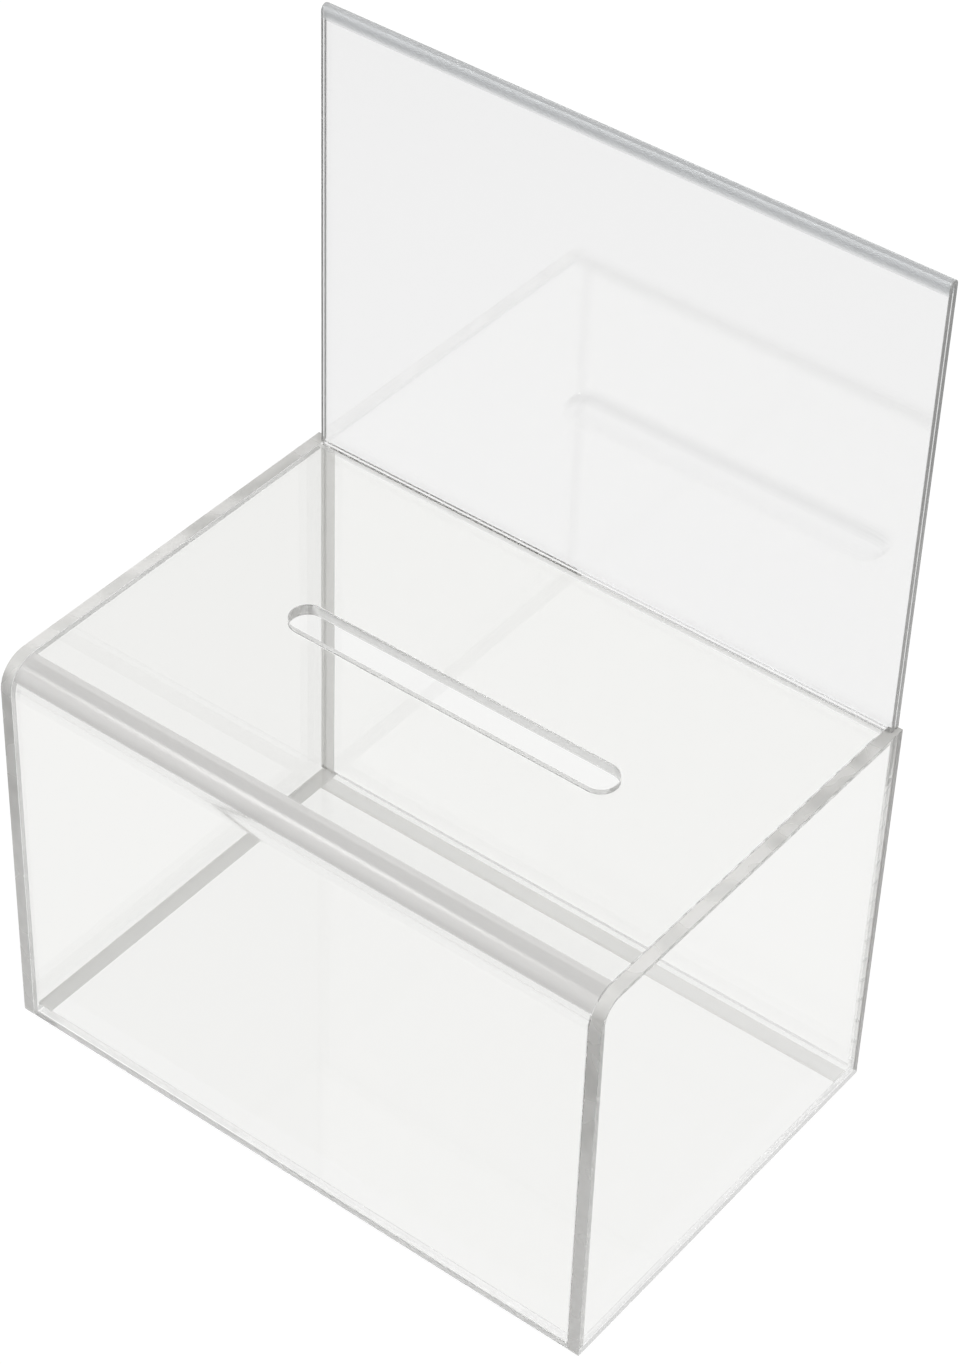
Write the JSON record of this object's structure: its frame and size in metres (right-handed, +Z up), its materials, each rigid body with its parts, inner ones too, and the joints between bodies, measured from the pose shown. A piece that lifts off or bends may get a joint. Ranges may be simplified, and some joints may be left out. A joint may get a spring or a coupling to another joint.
{
  "type": "donation box",
  "caption": "Clear acrylic donation box with a round-ended slot in its top, a bent front edge, a slide-out base and a folded sign holder standing along the rear edge.",
  "frame": {"origin": "on the resting plane under the middle of the box", "axes": "+Z up, front of the box faces -Y, +X to the right seen from the front"},
  "size_m": [0.216, 0.143, 0.297],
  "materials": {
    "clear_acrylic": "clear polished cast acrylic with saw-cut, flame-polished edges"
  },
  "bodies": {
    "case": {"front_top_sheet": "clear_acrylic", "left_side_panel": "clear_acrylic", "right_side_panel": "clear_acrylic", "rear_panel": "clear_acrylic", "sign_front_leaf": "clear_acrylic", "sign_rear_leaf": "clear_acrylic", "sign_fold": "clear_acrylic"},
    "base": {"base_panel": "clear_acrylic"}
  },
  "joints": [
    {"name": "base_slide", "type": "slide", "parent": "case", "child": "base", "axis": [0, 1, 0], "range_m": [0, 0.142]}
  ]
}
